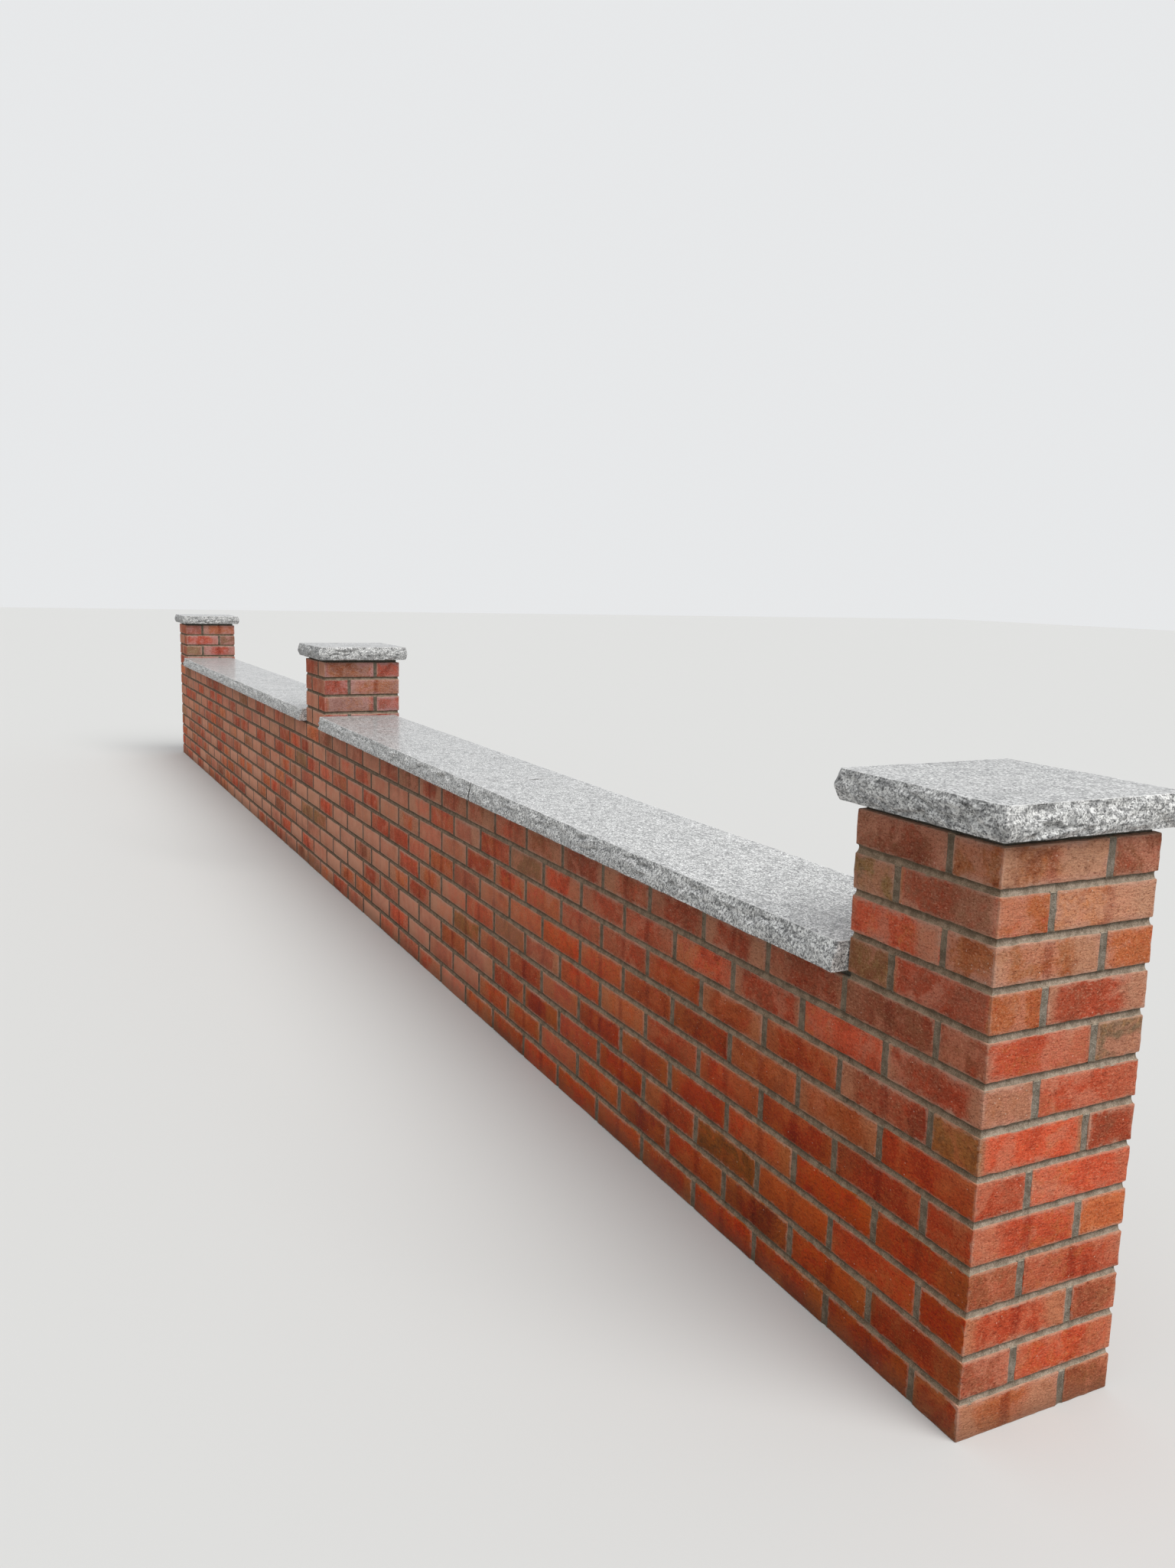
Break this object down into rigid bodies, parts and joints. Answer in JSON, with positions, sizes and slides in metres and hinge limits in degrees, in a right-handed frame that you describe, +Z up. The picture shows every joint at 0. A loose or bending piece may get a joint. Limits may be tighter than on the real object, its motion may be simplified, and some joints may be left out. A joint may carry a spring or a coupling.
{
  "type": "brick garden wall",
  "caption": "Low brick garden wall running in bays between square piers, with rock-pitched granite caps and coping.",
  "frame": {"origin": "middle of the wall's footprint, on the ground it stands on", "axes": "+X along the wall towards the near pier, +Y to the garden side, +Z up"},
  "size_m": [7.7088, 0.3714, 0.9589],
  "materials": {
    "brick": "matte wire-cut face",
    "mortar": "matte tooled",
    "granite": "rock-pitched faces, fine top"
  },
  "bodies": {
    "root": {"near_pier_brickwork": "brick", "near_pier_core": "mortar", "near_pier_cap_bed": "mortar", "near_pier_cap": "granite", "middle_pier_brickwork": "brick", "middle_pier_core": "mortar", "middle_pier_cap_bed": "mortar", "middle_pier_cap": "granite", "far_pier_brickwork": "brick", "far_pier_core": "mortar", "far_pier_cap_bed": "mortar", "far_pier_cap": "granite", "near_bay_street_leaf": "brick", "near_bay_garden_leaf": "brick", "near_bay_grout": "mortar", "near_bay_coping_bed": "mortar", "near_bay_coping_near_stone": "granite", "near_bay_coping_far_stone": "granite", "near_bay_coping_joint": "mortar", "far_bay_street_leaf": "brick", "far_bay_garden_leaf": "brick", "far_bay_grout": "mortar", "far_bay_coping_bed": "mortar", "far_bay_coping_near_stone": "granite", "far_bay_coping_far_stone": "granite", "far_bay_coping_joint": "mortar"}
  },
  "joints": []
}
